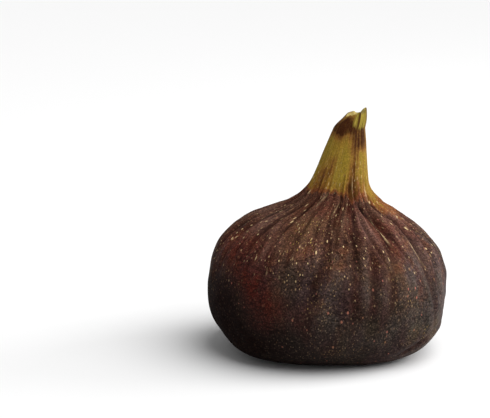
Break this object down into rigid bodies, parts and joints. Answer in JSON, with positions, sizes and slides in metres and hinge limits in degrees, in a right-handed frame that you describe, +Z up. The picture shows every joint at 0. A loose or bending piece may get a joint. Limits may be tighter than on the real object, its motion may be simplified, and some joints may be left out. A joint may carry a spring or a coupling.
{
  "type": "fresh fig",
  "caption": "Fresh dark fig: a squat ribbed fruit that tapers through a leaning neck to a torn stalk end, standing on its flattened blossom end with a small eye.",
  "frame": {"origin": "on the surface the fig stands on, under the middle of its box", "axes": "+Z up through the neck to the stalk, +X to the side the neck leans to, -Y the front, where the deepest crease runs"},
  "size_m": [0.0604, 0.058, 0.0618],
  "materials": {
    "fig_skin": "matt, faintly velvety skin: dark purple-brown body with pale flecks and a waxy bloom, olive-yellow neck with purple streaks"
  },
  "bodies": {
    "root": {"fig": "fig_skin"}
  },
  "joints": []
}
